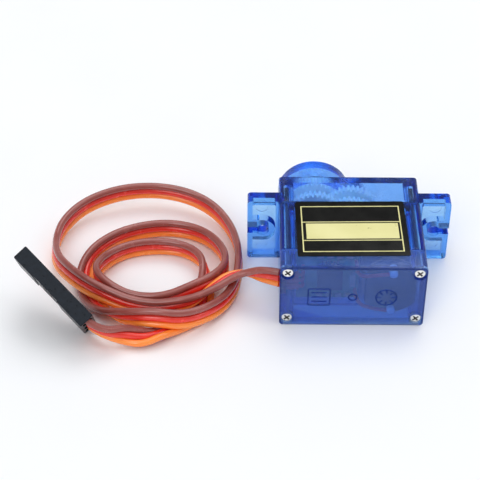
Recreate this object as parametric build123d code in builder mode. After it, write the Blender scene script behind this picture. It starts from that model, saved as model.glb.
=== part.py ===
from build123d import *
import math
import os

# Hobby servo motor, sub-micro size, lying on its side. Millimetres.
# X runs across the case, Y along the output shaft (the output end is +Y), Z up.
# The origin is under the middle of the object, on the surface it lies on.
# A "level" is a distance along +Y from the outer face of the bottom cover.

# Case
CASE_WIDTH = 22.6
CASE_THICK = 11.9
WALL = 1.0
CORNER_R = 0.6
RIM_FILLET = 0.15
COVER_TOP = 4.5
MIDDLE_TOP = 16.2
CASE_TOP = 22.6
COVER_FLOOR = 1.2
MIDDLE_PLATE = 15.2
LAP = 0.5
ROOF_UNDER = 21.6
PARTING_STEP = 0.08
PARTING_GROOVE = 0.12
RIB_LOW = 9.0
RIB_THICK = 0.45
RIB_SHIFT = 0.35
MERGE = 0.1
MOTOR_SEAT_R = 1.9
POT_SEAT_R = 0.8
PIN_SEAT_DEPTH = 0.3
PIN_SLACK = 0.05

# Mounting ears
EAR_SPAN = 32.8
EAR_LOW = 16.0
EAR_HIGH = 18.4
EAR_CORNER_R = 0.6
EAR_FRAME = 0.85
EAR_POCKET_DEPTH = 1.4
EAR_POCKET_INNER = 0.5
EAR_POCKET_MARGIN = 0.7
EAR_POCKET_CORNER = 0.25
EAR_HOLE_SPACING = 27.9
EAR_HOLE_R = 1.05
EAR_BOSS_R = 2.1
EAR_SLOT = 1.2
EJECTOR_R = 1.0
EJECTOR_OFFSET = 3.75
EJECTOR_DEPTH = 0.1
EJECTOR_SPREAD = 0.2

# Axes of the drive, as places along X, all at mid thickness
OUTPUT_X = -5.4
PIN_X = 0.475
MOTOR_X = 5.975

# Turret and pin boss on the gearbox cover
TURRET_R = 5.9
TURRET_TOP = 26.9
TURRET_CAVITY_R = 4.9
TURRET_CAVITY_TOP = 25.6
BOSS_R = 2.75
BOSS_TOP = 25.8
BOSS_CAVITY_R = 1.85
BOSS_CAVITY_TOP = 24.9
SHAFT_TOP = 30.1

# Case screws
SCREW_X = 10.1
SCREW_Z = 4.65
POST_R = 1.2
SCREW_HEAD_R = 0.93
SCREW_HEAD_LOW = 0.3
SCREW_SEAT = 1.0
SCREW_RECESS_R = 1.05
SCREW_SHANK_R = 0.45
SCREW_CLEAR_R = 0.55
SCREW_END = 20.4
PILOT_END = 20.8
CROSS_WIDTH = 0.28
CROSS_LENGTH = 1.15
CROSS_DEPTH = 0.35
CROSS_TURN = 40
HEAD_FILLET = 0.22
SHANK_CHAMFER = 0.2

# Moulded relief on the bottom cover
RELIEF = 0.16
GATE_R = 0.75
RELIEF_LINE = 0.22
DIAL_X = 5.2
DIAL_R = 1.7
DIAL_TICKS = 8
TICK_LENGTH = 0.7
PANEL_X = -5.2
PANEL_SIZE = 3.6
PANEL_CORNER = 0.4
PANEL_BARS = 3
PANEL_BAR_GAP = 0.9
PANEL_BAR_LENGTH = 2.4

# Label
LABEL_WIDTH = 17.4
LABEL_LENGTH = 13.2
LABEL_THICK = 0.08
LABEL_LEVEL = 9.48
LABEL_TURN = 1.1
LABEL_CORNER = 0.3

# Gears
MODULE = 0.25
PRESSURE = math.radians(20)
BACKLASH = 0.035
WHEEL_TEETH = 36
PINION_TEETH = 11
MOTOR_TEETH = 8
WHEEL_TIP_R = 4.62
WHEEL_ROOT_R = 4.18
TIP_CLEARANCE = 0.06
PIN_R = 0.5
PIN_BORE_R = 0.54
PIN_CHAMFER = 0.1
POT_SHAFT_R = 0.6
POT_SHAFT_BORE_R = 0.64
HUB_R = 1.0
HALF_PITCH = math.pi / WHEEL_TEETH
HUB_LOW = 16.35
FIRST_WHEEL = (17.5, 18.6)
FIRST_PINION_TOP = 20.05
SECOND_WHEEL = (18.8, 20.0)
SECOND_PINION_TOP = 21.6
THIRD_HUB_LOW = 20.15
THIRD_WHEEL = (20.25, 21.5)
THIRD_PINION_TOP = 23.9
THIRD_HUB_TOP = 24.75
OUTPUT_WHEEL = (21.8, 23.8)
JOURNAL_R = 2.94
JOURNAL_BORE_R = 3.0
SHOULDER_R = 3.4
SHOULDER_TOP = 25.5
SPLINE_TEETH = 21
SPLINE_TIP_R = 2.4
SPLINE_ROOT_R = 2.2
SPLINE_LOW = 27.1
SPLINE_TOOTH = 0.5
SPLINE_SLOPE = 64
SPLINE_OVERLAP = 0.05
HORN_HOLE_R = 0.8
HORN_HOLE_DEPTH = 3.6
POT_SHAFT_TOP = 24.5

# Motor
CAN_R = 4.8
CAN_FLAT = 4.1
CAN_WALL = 0.35
CAN_ROOF = 0.5
CAN_FILLET = 0.3
CAP_FIT = 0.1
CAP_FILLET = 0.25
CAP_BOSS_R = 1.0
CAP_BOSS_HEIGHT = 0.5
CAP_BORE_LOW = 0.4
CAN_LOW = 3.2
CAN_TOP = 15.2
END_CAP_LOW = 2.2
BUSH_R = 1.5
BUSH_LOW = 13.9
BUSH_TOP = 15.9
BUSH_CHAMFER = 0.15
MOTOR_SHAFT_R = 0.4
MOTOR_BORE_R = 0.43
MAGNET_LOW = 5.2
MAGNET_TOP = 13.0
MAGNET_INNER_R = 3.65
MAGNET_WIDTH = 5.6
MAGNET_FIT = 0.01
CORE_R = 3.35
CORE_LOW = 5.8
CORE_TOP = 12.4
COIL_OVERHANG = 0.6
HUB_CORE_R = 1.15
STEM_WIDTH = 1.0
STEM_LENGTH = 3.0
POLE_RIM = 0.6
POLE_GAP = 0.9
POLE_ANGLES = (90, 210, 330)
COIL_AT = 1.9
COIL_DEPTH = 1.3
COIL_WIDTH = 2.2
COIL_CORNER = 0.4
COIL_FILLET = 0.35
COIL_FIT = 0.01
COMMUTATOR_R = 1.1
COMMUTATOR_LOW = 3.9
COMMUTATOR_TOP = 4.9
SLIT_DEPTH = 0.5
SLIT_WIDTH = 0.16
BRUSH_X = 1.3
BRUSH_THICK = 0.18
BRUSH_TOP = 4.8
BRUSH_WIDTH = 1.5
BRUSH_ARM = 6.6
BRUSH_ARM_TOP = 3.5
TERMINAL_Z = 3.8
TAG_WIDTH = 1.0
TAG_THICK = 0.3
TAG_FIT = 0.1
TAG_IN_SOLDER = 0.18
SOLDER_SHIFT = 0.2
SOLDER_R = 0.72
SOLDER_LOW = 1.3
SOLDER_TOP = 2.15
SOLDER_FILLET = 0.4
MOTOR_SHAFT_TOP = 18.9
MOTOR_PINION_LOW = 17.4
MOTOR_PINION_TOP = 18.7

# Potentiometer
POT_R = 4.3
POT_LOW = 10.6
POT_TOP = 15.1
POT_WALL = 0.6
POT_FILLET = 0.3
TRACK_TOP = 11.2
TRACK_HOLE_R = 0.7
WIPER_R = 3.0
WIPER_LOW = 12.3
WIPER_TOP = 13.1
FINGER_LOW = 11.5
FINGER_THICK = 0.5
FINGER_WIDTH = 1.4
POT_SHAFT_LOW = 11.4
POT_PIN_X = 2.2
POT_PIN_GAP = 2.5
POT_PIN_LOW = 9.6
POT_PIN_THICK = 0.4
POT_PIN_WIDTH = 0.9
POT_WIRE_DROP = 1.2
POT_WIRE_SHIFT = 0.6
POT_WIRE_GAP = 2.15

# Control board
BOARD_LOW = 5.2
BOARD_TOP = 6.0
BOARD_LEFT = -8.6
BOARD_RIGHT = 1.2
BOARD_LENGTH = 8.6
PARTS_LOW = 4.2
CHIP_X = -3.4
CHIP_LENGTH = 3.9
CHIP_LEG_GAP = 0.6
CHIP_WIDTH = 4.0
CHIP_STANDOFF = 0.15
LEG_LOW = 4.7
LEG_THICK = 0.25
LEG_LENGTH = 0.5
LEG_OUT = 0.2
RESISTOR_LOW = 4.75
RESISTOR_LENGTH = 1.0
RESISTOR_WIDTH = 0.5
RESISTOR_GAP = 1.5
RESISTOR_Z = 3.6
CAPACITOR_X = 0.2
CAPACITOR_WIDTH = 0.8
CAPACITOR_LENGTH = 2.4

# Motor wires, hand-set points of one of the pair: x, level and distance from mid thickness
MOTOR_WIRE = [(5.675, 1.72, 3.8), (3.6, 1.72, 3.5), (1.5, 2.0, 3.0), (0.75, 3.4, 2.6), (0.7, 5.2, 2.5)]

# Three-wire lead. Each point of the route gives the middle wire's centre (x, y, z) and the
# angle in degrees by which the brown wire leans from above it towards the left of the run.
WIRE_SOLID_D = 1.14
WIRE_PITCH = 1.2
LEAD_LEVEL = 4.1
LEAD_Z = 6.2
LEAD_INSIDE = 3.0
BARE_END = 0.7
LEAD_SLOT_HALF = 0.65
INNER_WIRE_R = 0.3
LEAD_ROUTE = [
    (-11.3, -10.95, 6.2, 0), (-13.9, -9.9, 6, 5), (-16.4, -8.6, 5.2, 50), (-18.9, -8.9, 4.8, 64),
    (-21.5, -11, 4.3, 56), (-24.4, -13.2, 3.4, 22), (-27.8, -13.9, 2.7, 8), (-31.2, -13.8, 2.2, 5),
    (-34.9, -13.2, 2.4, 0), (-38.4, -12.1, 3.2, -5), (-41.7, -10.2, 3.5, -8),
    (-44.9, -7.2, 3.5, -10), (-47.3, -3.4, 2.8, -10), (-48.2, 1.1, 2.1, -8), (-47.3, 6.1, 2.4, 0),
    (-44.1, 10.7, 2.9, -5), (-38.6, 13.6, 3.4, -10), (-32.4, 14.4, 3.5, -12),
    (-26.5, 13.2, 3.2, -8), (-21.9, 10.3, 2.5, -3), (-18.9, 5.5, 1.9, -5), (-17.7, 0.2, 1.81, -5),
    (-17.8, -4.6, 1.81, -3), (-18.3, -8.4, 1.81, 0), (-19.8, -12.3, 2.3, 0), (-22.5, -15.7, 3, -5),
    (-26.2, -17.8, 3.4, -5), (-30.9, -17.6, 3.8, -8), (-35.6, -16.2, 2.5, 4),
    (-39.4, -13.3, 1.21, 60), (-41.7, -9.7, 0.66, 88), (-42.7, -5.6, 1.18, 62),
    (-42.2, -1.2, 1.8, 12), (-38.8, 3.3, 1.81, 0), (-33.6, 5.9, 1.81, -5), (-28.4, 6.3, 1.81, -5),
    (-23.7, 4.5, 1.9, -5), (-20.6, 0.5, 2.2, -5), (-19.6, -4.2, 2.7, 0), (-21.2, -7.9, 3.16, 0),
    (-24.8, -10.7, 3.25, -5), (-29.6, -12.3, 2.3, 10), (-34.6, -11.8, 2, 8), (-38.6, -10.1, 3, 0),
    (-40.9, -6.9, 3.1, 0), (-40, -2.9, 2.1, 0), (-36.8, 0.4, 1.81, -5), (-32.2, 1.7, 1.81, -5),
    (-27.2, 1.2, 1.8, -10), (-23.8, -1.5, 1.81, -8), (-22.9, -5.4, 1.7, -25),
    (-23.18, -8.8, 0.78, -82), (-23.68, -13.46, 0.61, -93), (-27.48, -16.27, 0.69, -88),
    (-29.88, -18.7, 1.39, -116), (-32.57, -19.67, 1.49, -71), (-35, -19.86, 2.23, -25),
    (-37.9, -20.39, 3, 25),
]

# Connector on the lead's free end
PLUG_AT = Vector(-40.64, -19.23, 3.67)
PLUG_WAY = Vector(-0.7049, 0.5547, 0.442)
PLUG_ACROSS = Vector(0.0215, -0.6063, 0.795)
PLUG_LENGTH = 15.0
PLUG_WIDTH = 7.6
PLUG_THICK = 2.5
PLUG_PITCH = 2.54
CAVITY = 1.7
CAVITY_DEPTH = 12.6
SOCKET = 1.0
WIRE_IN_PLUG = 2.2
PLUG_CHAMFER = 0.12
STEP_START = 5.4
STEP_LENGTH = 5.3
STEP_DEPTH = 0.15
WINDOW_START = 6.4
WINDOW_LENGTH = 3.0
WINDOW_WIDTH = 1.3
WINDOW_DEPTH = 0.7
CONTACT_LENGTH = 8.6
CONTACT_SIZE = (1.4, 1.3)
CONTACT_SLACK = 0.2
CONTACT_BORE = 0.8
BORE_DEPTH = 6.5
BARREL_R = 0.55

MID_Z = CASE_THICK / 2
BASE_Y = -SHAFT_TOP / 2
OUTWARD = (0, 1, 0)


def facing(level, x=0.0, z=MID_Z):
    """Plane across the output direction: its x is +X and its y is +Z."""
    return Plane(origin=(x, BASE_Y + level, z), x_dir=(1, 0, 0), z_dir=(0, -1, 0))


def disc(level, top, radius, x=0.0, z=MID_Z, mode=Mode.ADD):
    """Cylinder along the output direction, from one level to another."""
    with BuildSketch(facing(level, x, z)) as profile:
        Circle(radius)
    extrude(profile.sketch, amount=top - level, dir=OUTWARD, mode=mode)


def block(level, top, width, height, x=0.0, z=MID_Z, mode=Mode.ADD):
    """Box between two levels, centred on x and z."""
    with BuildSketch(facing(level, x, z)) as profile:
        Rectangle(width, height)
    extrude(profile.sketch, amount=top - level, dir=OUTWARD, mode=mode)


def shell_ring(level, top, inset=0.0, mode=Mode.ADD):
    """Rounded box of the case's outline, made smaller by inset, between two levels."""
    with BuildSketch(facing(level)) as profile:
        RectangleRounded(CASE_WIDTH - 2 * inset, CASE_THICK - 2 * inset, max(CORNER_R - inset, 0.2))
    extrude(profile.sketch, amount=top - level, dir=OUTWARD, mode=mode)


def corner_discs(level, top, radius, mode=Mode.ADD):
    """Four cylinders on the screw axes."""
    with BuildSketch(facing(level)) as profile:
        with GridLocations(2 * SCREW_X, 2 * SCREW_Z, 2, 2):
            Circle(radius)
    extrude(profile.sketch, amount=top - level, dir=OUTWARD, mode=mode)


def polar(radius, angle):
    return (radius * math.cos(angle), radius * math.sin(angle))


def involute(angle):
    return math.tan(angle) - angle


def gear_outline(teeth, tip_r, root_r, turn=0.0):
    """Closed involute outline with one tooth centred on the angle turn."""
    pitch_r = MODULE * teeth / 2
    base_r = pitch_r * math.cos(PRESSURE)
    half_tooth = math.pi / (2 * teeth) - BACKLASH / (2 * pitch_r) + involute(PRESSURE)
    low_r = max(base_r, root_r)
    steps = 4
    flank = []
    for i in range(steps + 1):
        radius = low_r + (tip_r - low_r) * i / steps
        flank.append((radius, half_tooth - involute(math.acos(base_r / radius))))
    if root_r < low_r:
        flank.insert(0, (root_r, flank[0][1]))
    points = []
    for k in range(teeth):
        middle = turn + 2 * math.pi * k / teeth
        points.append(polar(root_r, middle - math.pi / teeth))
        points += [polar(radius, middle - angle) for radius, angle in flank]
        points += [polar(radius, middle + angle) for radius, angle in reversed(flank)]
    return points


def toothed(level, top, x, points, mode=Mode.ADD):
    """Prism of a gear outline between two levels."""
    with BuildSketch(facing(level, x)) as profile:
        with BuildLine():
            Polyline(*points, close=True)
        make_face()
    extrude(profile.sketch, amount=top - level, dir=OUTWARD, mode=mode)


def wheel(level, top, x, turn=0.0):
    toothed(level, top, x, gear_outline(WHEEL_TEETH, WHEEL_TIP_R, WHEEL_ROOT_R, turn))


def pinion(level, top, x, teeth=PINION_TEETH):
    pitch_r = MODULE * teeth / 2
    distance = pitch_r + MODULE * WHEEL_TEETH / 2
    root_r = distance - WHEEL_TIP_R - TIP_CLEARANCE
    toothed(level, top, x, gear_outline(teeth, pitch_r + MODULE, root_r))


def save(node, name):
    """Gives a finished piece its name and writes it."""
    node.part.label = name
    export_step(node.part, f"parts/{name}.step")


os.makedirs("parts", exist_ok=True)

# ---------------------------------------------------------------- case

with BuildPart() as bottom_cover:
    shell_ring(0, COVER_TOP)
    fillet(bottom_cover.faces().sort_by(Axis.Y)[0].edges(), RIM_FILLET)
    shell_ring(COVER_FLOOR, COVER_TOP, WALL, Mode.SUBTRACT)
    corner_discs(COVER_FLOOR - MERGE, COVER_TOP, POST_R)
    # generic relief: gate ring in the middle, a plain dial and a barred panel beside it
    with BuildSketch(facing(0)):
        Circle(GATE_R)
        Circle(GATE_R - RELIEF_LINE, mode=Mode.SUBTRACT)
        with Locations((DIAL_X, 0)):
            Circle(DIAL_R)
            Circle(DIAL_R - RELIEF_LINE, mode=Mode.SUBTRACT)
            with PolarLocations(DIAL_R - RELIEF_LINE - TICK_LENGTH / 2, DIAL_TICKS):
                Rectangle(TICK_LENGTH, RELIEF_LINE)
        with Locations((PANEL_X, 0)):
            RectangleRounded(PANEL_SIZE, PANEL_SIZE, PANEL_CORNER)
            RectangleRounded(PANEL_SIZE - 2 * RELIEF_LINE, PANEL_SIZE - 2 * RELIEF_LINE,
                             PANEL_CORNER - RELIEF_LINE, mode=Mode.SUBTRACT)
            with GridLocations(0, PANEL_BAR_GAP, 1, PANEL_BARS):
                Rectangle(PANEL_BAR_LENGTH, RELIEF_LINE)
    extrude(amount=RELIEF, dir=OUTWARD, mode=Mode.SUBTRACT)
    corner_discs(0, SCREW_SEAT, SCREW_RECESS_R, Mode.SUBTRACT)
    corner_discs(SCREW_SEAT, COVER_TOP, SCREW_CLEAR_R, Mode.SUBTRACT)
    # slot for the lead, open at the rim
    block(LEAD_LEVEL - LEAD_SLOT_HALF, COVER_TOP, 2 * WALL + 0.2, 3 * WIRE_PITCH + 0.1,
          -CASE_WIDTH / 2, LEAD_Z, Mode.SUBTRACT)
save(bottom_cover, "bottom_cover")

with BuildPart() as middle_case:
    shell_ring(COVER_TOP, MIDDLE_TOP)
    # a fine step at the parting line makes the joint visible
    with BuildSketch(facing(COVER_TOP)):
        RectangleRounded(CASE_WIDTH + 1, CASE_THICK + 1, CORNER_R)
        RectangleRounded(CASE_WIDTH - 2 * PARTING_STEP, CASE_THICK - 2 * PARTING_STEP,
                         CORNER_R, mode=Mode.SUBTRACT)
    extrude(amount=PARTING_GROOVE, dir=OUTWARD, mode=Mode.SUBTRACT)
    # mounting ears
    with BuildSketch(facing(EAR_LOW)):
        RectangleRounded(EAR_SPAN, CASE_THICK, EAR_CORNER_R)
    extrude(amount=EAR_HIGH - EAR_LOW, dir=OUTWARD)
    # room for the gearbox cover, which laps inside the end walls up to the ears' upper faces
    block(MIDDLE_TOP, EAR_HIGH, CASE_WIDTH - 2 * LAP, CASE_THICK + 1, mode=Mode.SUBTRACT)
    # pockets in the ears' lower faces
    pocket_left = CASE_WIDTH / 2 + EAR_POCKET_INNER
    pocket_right = EAR_SPAN / 2 - EAR_FRAME
    pocket_mid = (pocket_left + pocket_right) / 2
    with BuildSketch(facing(EAR_LOW)):
        with Locations((-pocket_mid, 0), (pocket_mid, 0)):
            RectangleRounded(pocket_right - pocket_left, CASE_THICK - 2 * EAR_POCKET_MARGIN,
                             EAR_POCKET_CORNER)
        with Locations((-EAR_HOLE_SPACING / 2, 0), (EAR_HOLE_SPACING / 2, 0)):
            Circle(EAR_BOSS_R, mode=Mode.SUBTRACT)
        for side in (-1, 1):
            with Locations((side * (EAR_HOLE_SPACING / 2 + 1), 0)):
                Rectangle(2, 2 * EAR_BOSS_R - 0.1, mode=Mode.SUBTRACT)
    extrude(amount=EAR_POCKET_DEPTH, dir=OUTWARD, mode=Mode.SUBTRACT)
    # screw holes with their slots, and the round ejector marks
    with BuildSketch(facing(EAR_LOW)):
        with Locations((-EAR_HOLE_SPACING / 2, 0), (EAR_HOLE_SPACING / 2, 0)):
            Circle(EAR_HOLE_R)
        for side in (-1, 1):
            with Locations((side * (EAR_HOLE_SPACING / 2 + 2), 0)):
                Rectangle(4, EAR_SLOT)
    extrude(amount=EAR_HIGH - EAR_LOW, dir=OUTWARD, mode=Mode.SUBTRACT)
    with BuildSketch(facing(EAR_LOW + EAR_POCKET_DEPTH)):
        with GridLocations(EAR_HOLE_SPACING + EJECTOR_SPREAD, 2 * EJECTOR_OFFSET, 2, 2):
            Circle(EJECTOR_R)
    extrude(amount=EJECTOR_DEPTH, dir=OUTWARD, mode=Mode.SUBTRACT)
    # inside: hollow, screw posts, rib between motor and potentiometer
    shell_ring(COVER_TOP, MIDDLE_PLATE, WALL, Mode.SUBTRACT)
    corner_discs(COVER_TOP, MIDDLE_PLATE + MERGE, POST_R)
    block(RIB_LOW, MIDDLE_PLATE + MERGE, RIB_THICK, CASE_THICK - WALL,
          (PIN_X + MOTOR_X - CAN_FLAT) / 2 + RIB_SHIFT)
    corner_discs(COVER_TOP, MIDDLE_TOP, SCREW_CLEAR_R, Mode.SUBTRACT)
    disc(MIDDLE_PLATE, MIDDLE_TOP, MOTOR_SEAT_R, MOTOR_X, mode=Mode.SUBTRACT)
    disc(MIDDLE_PLATE, MIDDLE_TOP, POT_SEAT_R, OUTPUT_X, mode=Mode.SUBTRACT)
    disc(MIDDLE_PLATE + PIN_SEAT_DEPTH, MIDDLE_TOP, PIN_R, PIN_X, mode=Mode.SUBTRACT)
    # the lead's slot reaches a little over the parting line
    block(COVER_TOP, LEAD_LEVEL + LEAD_SLOT_HALF, 2 * WALL + 0.2, 3 * WIRE_PITCH + 0.1,
          -CASE_WIDTH / 2, LEAD_Z, Mode.SUBTRACT)
save(middle_case, "middle_case")

with BuildPart() as gearbox_cover:
    shell_ring(EAR_HIGH, CASE_TOP)
    fillet(gearbox_cover.faces().sort_by(Axis.Y)[-1].edges(), RIM_FILLET)
    block(MIDDLE_TOP, EAR_HIGH, CASE_WIDTH - 2 * LAP, CASE_THICK)
    disc(ROOF_UNDER + MERGE, TURRET_TOP, TURRET_R, OUTPUT_X)
    fillet(gearbox_cover.faces().sort_by(Axis.Y)[-1].edges(), RIM_FILLET)
    disc(ROOF_UNDER + MERGE, BOSS_TOP, BOSS_R, PIN_X)
    shell_ring(MIDDLE_TOP, ROOF_UNDER, WALL, Mode.SUBTRACT)
    corner_discs(MIDDLE_TOP, ROOF_UNDER + MERGE, POST_R)
    # nothing of the lap reaches into the end walls
    with BuildSketch(facing(MIDDLE_TOP)) as lap_room:
        Rectangle(2 * CASE_WIDTH, 2 * CASE_THICK)
        Rectangle(CASE_WIDTH - 2 * LAP, CASE_THICK, mode=Mode.SUBTRACT)
    extrude(lap_room.sketch, amount=EAR_HIGH - MIDDLE_TOP, dir=OUTWARD, mode=Mode.SUBTRACT)
    corner_discs(MIDDLE_TOP, PILOT_END, SCREW_SHANK_R, Mode.SUBTRACT)
    disc(ROOF_UNDER, TURRET_CAVITY_TOP, TURRET_CAVITY_R, OUTPUT_X, mode=Mode.SUBTRACT)
    disc(ROOF_UNDER, BOSS_CAVITY_TOP, BOSS_CAVITY_R, PIN_X, mode=Mode.SUBTRACT)
    disc(TURRET_CAVITY_TOP, TURRET_TOP, JOURNAL_BORE_R, OUTPUT_X, mode=Mode.SUBTRACT)
    disc(BOSS_CAVITY_TOP, BOSS_TOP - PIN_SEAT_DEPTH, PIN_R, PIN_X, mode=Mode.SUBTRACT)
save(gearbox_cover, "gearbox_cover")

with BuildPart() as case_screws:
    corner_discs(SCREW_HEAD_LOW, SCREW_SEAT, SCREW_HEAD_R)
    fillet(case_screws.faces().filter_by(Axis.Y).group_by(Axis.Y)[0].edges(), HEAD_FILLET)
    corner_discs(SCREW_SEAT, SCREW_END, SCREW_SHANK_R)
    chamfer(case_screws.faces().filter_by(Axis.Y).group_by(Axis.Y)[-1].edges(), SHANK_CHAMFER)
    with BuildSketch(facing(SCREW_HEAD_LOW)):
        with GridLocations(2 * SCREW_X, 2 * SCREW_Z, 2, 2):
            Rectangle(CROSS_WIDTH, CROSS_LENGTH, rotation=CROSS_TURN)
            Rectangle(CROSS_LENGTH, CROSS_WIDTH, rotation=CROSS_TURN)
    extrude(amount=CROSS_DEPTH, dir=OUTWARD, mode=Mode.SUBTRACT)
save(case_screws, "case_screws")

label_plane = Plane(
    origin=(0, BASE_Y + LABEL_LEVEL, CASE_THICK), x_dir=(1, 0, 0), z_dir=(0, 0, 1)
).rotated((0, 0, LABEL_TURN))
with BuildPart() as label:
    with BuildSketch(label_plane):
        RectangleRounded(LABEL_WIDTH, LABEL_LENGTH, LABEL_CORNER)
    extrude(amount=LABEL_THICK)
save(label, "label")

# ---------------------------------------------------------------- gear train

with BuildPart() as gear_pin:
    disc(MIDDLE_PLATE + PIN_SEAT_DEPTH + PIN_SLACK, BOSS_TOP - PIN_SEAT_DEPTH - PIN_SLACK, PIN_R, PIN_X)
    chamfer(gear_pin.faces().filter_by(Axis.Y).edges(), PIN_CHAMFER)
save(gear_pin, "gear_pin")

with BuildPart() as first_gear:
    wheel(*FIRST_WHEEL, PIN_X, HALF_PITCH)
    disc(HUB_LOW, FIRST_WHEEL[0], HUB_R, PIN_X)
    pinion(FIRST_WHEEL[1], FIRST_PINION_TOP, PIN_X)
    disc(HUB_LOW, FIRST_PINION_TOP, PIN_BORE_R, PIN_X, mode=Mode.SUBTRACT)
save(first_gear, "first_gear")

with BuildPart() as second_gear:
    wheel(*SECOND_WHEEL, OUTPUT_X)
    disc(HUB_LOW, SECOND_WHEEL[0], HUB_R, OUTPUT_X)
    pinion(SECOND_WHEEL[1], SECOND_PINION_TOP, OUTPUT_X)
    disc(HUB_LOW, SECOND_PINION_TOP, POT_SHAFT_BORE_R, OUTPUT_X, mode=Mode.SUBTRACT)
save(second_gear, "second_gear")

with BuildPart() as third_gear:
    wheel(*THIRD_WHEEL, PIN_X, HALF_PITCH)
    disc(THIRD_HUB_LOW, THIRD_WHEEL[0], HUB_R, PIN_X)
    pinion(THIRD_WHEEL[1], THIRD_PINION_TOP, PIN_X)
    disc(THIRD_PINION_TOP, THIRD_HUB_TOP, HUB_R, PIN_X)
    disc(THIRD_HUB_LOW, THIRD_HUB_TOP, PIN_BORE_R, PIN_X, mode=Mode.SUBTRACT)
save(third_gear, "third_gear")

with BuildPart() as output_gear:
    wheel(*OUTPUT_WHEEL, OUTPUT_X)
    disc(OUTPUT_WHEEL[1], SHOULDER_TOP, SHOULDER_R, OUTPUT_X)
    disc(SHOULDER_TOP, SPLINE_LOW, JOURNAL_R, OUTPUT_X)
    with BuildSketch(facing(SPLINE_LOW, OUTPUT_X)):
        Circle(SPLINE_ROOT_R)
        with PolarLocations(SPLINE_ROOT_R - SPLINE_OVERLAP, SPLINE_TEETH):
            Trapezoid(SPLINE_TOOTH, SPLINE_TIP_R - SPLINE_ROOT_R + SPLINE_OVERLAP, SPLINE_SLOPE,
                      align=(Align.CENTER, Align.MIN), rotation=-90)
    extrude(amount=SHAFT_TOP - SPLINE_LOW, dir=OUTWARD)
    disc(SHAFT_TOP - HORN_HOLE_DEPTH, SHAFT_TOP, HORN_HOLE_R, OUTPUT_X, mode=Mode.SUBTRACT)
    disc(OUTPUT_WHEEL[0], POT_SHAFT_TOP, POT_SHAFT_R, OUTPUT_X, mode=Mode.SUBTRACT)
save(output_gear, "output_gear")

# ---------------------------------------------------------------- motor


def motor_section(radius, flat):
    """Round outline with two flats, the section of the motor can."""
    Circle(radius)
    Rectangle(2 * flat, 2 * radius + 1, mode=Mode.INTERSECT)


with BuildPart() as motor_can:
    with BuildSketch(facing(CAN_LOW, MOTOR_X)):
        motor_section(CAN_R, CAN_FLAT)
    extrude(amount=CAN_TOP - CAN_LOW, dir=OUTWARD)
    fillet(motor_can.faces().sort_by(Axis.Y)[-1].edges(), CAN_FILLET)
    with BuildSketch(facing(CAN_LOW, MOTOR_X)):
        motor_section(CAN_R - CAN_WALL, CAN_FLAT - CAN_WALL)
    extrude(amount=CAN_TOP - CAN_LOW - CAN_ROOF, dir=OUTWARD, mode=Mode.SUBTRACT)
    disc(BUSH_LOW, CAN_TOP, BUSH_R, MOTOR_X, mode=Mode.SUBTRACT)
save(motor_can, "motor_can")

with BuildPart() as motor_end_cap:
    with BuildSketch(facing(END_CAP_LOW, MOTOR_X)):
        motor_section(CAN_R - CAP_FIT, CAN_FLAT - CAP_FIT)
    extrude(amount=CAN_LOW - END_CAP_LOW, dir=OUTWARD)
    fillet(motor_end_cap.faces().sort_by(Axis.Y)[0].edges(), CAP_FILLET)
    disc(CAN_LOW, CAN_LOW + CAP_BOSS_HEIGHT, CAP_BOSS_R, MOTOR_X)
    disc(END_CAP_LOW + CAP_BORE_LOW, CAN_LOW + CAP_BOSS_HEIGHT, MOTOR_BORE_R, MOTOR_X,
         mode=Mode.SUBTRACT)
    for side in (-1, 1):
        block(END_CAP_LOW, CAN_LOW, TAG_WIDTH + TAG_FIT, TAG_THICK + TAG_FIT, MOTOR_X,
              MID_Z + side * TERMINAL_Z, Mode.SUBTRACT)
save(motor_end_cap, "motor_end_cap")

with BuildPart() as motor_bush:
    disc(BUSH_LOW, BUSH_TOP, BUSH_R, MOTOR_X)
    disc(BUSH_LOW, BUSH_TOP, MOTOR_BORE_R, MOTOR_X, mode=Mode.SUBTRACT)
    chamfer(motor_bush.faces().sort_by(Axis.Y)[-1].edges().sort_by(SortBy.RADIUS)[-1], BUSH_CHAMFER)
save(motor_bush, "motor_bush")

with BuildPart() as motor_magnets:
    with BuildSketch(facing(MAGNET_LOW, MOTOR_X)):
        Circle(CAN_R - CAN_WALL - MAGNET_FIT)
        Circle(MAGNET_INNER_R, mode=Mode.SUBTRACT)
        Rectangle(MAGNET_WIDTH, 2 * CAN_R, mode=Mode.INTERSECT)
    extrude(amount=MAGNET_TOP - MAGNET_LOW, dir=OUTWARD)
save(motor_magnets, "motor_magnets")

with BuildPart() as motor_shaft:
    disc(END_CAP_LOW + CAP_BORE_LOW + PIN_SLACK, MOTOR_SHAFT_TOP, MOTOR_SHAFT_R, MOTOR_X)
    chamfer(motor_shaft.faces().filter_by(Axis.Y).edges(), PIN_CHAMFER)
save(motor_shaft, "motor_shaft")


def stems(hub_r, width):
    """Round hub with one radial stem for each pole, the inside of the armature's section."""
    Circle(hub_r)
    for pole_angle in POLE_ANGLES:
        with Locations(Rotation(0, 0, pole_angle)):
            with Locations((STEM_LENGTH / 2, 0)):
                Rectangle(STEM_LENGTH, width)


with BuildPart() as armature_core:
    with BuildSketch(facing(CORE_LOW, MOTOR_X)):
        Circle(CORE_R)
        Circle(CORE_R - POLE_RIM, mode=Mode.SUBTRACT)
        stems(HUB_CORE_R, STEM_WIDTH)
        for pole_angle in POLE_ANGLES:
            with Locations(Rotation(0, 0, pole_angle + 60)):
                with Locations((CORE_R, 0)):
                    Rectangle(3 * POLE_RIM, POLE_GAP, mode=Mode.SUBTRACT)
        Circle(MOTOR_SHAFT_R, mode=Mode.SUBTRACT)
    extrude(amount=CORE_TOP - CORE_LOW, dir=OUTWARD)
save(armature_core, "armature_core")

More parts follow.
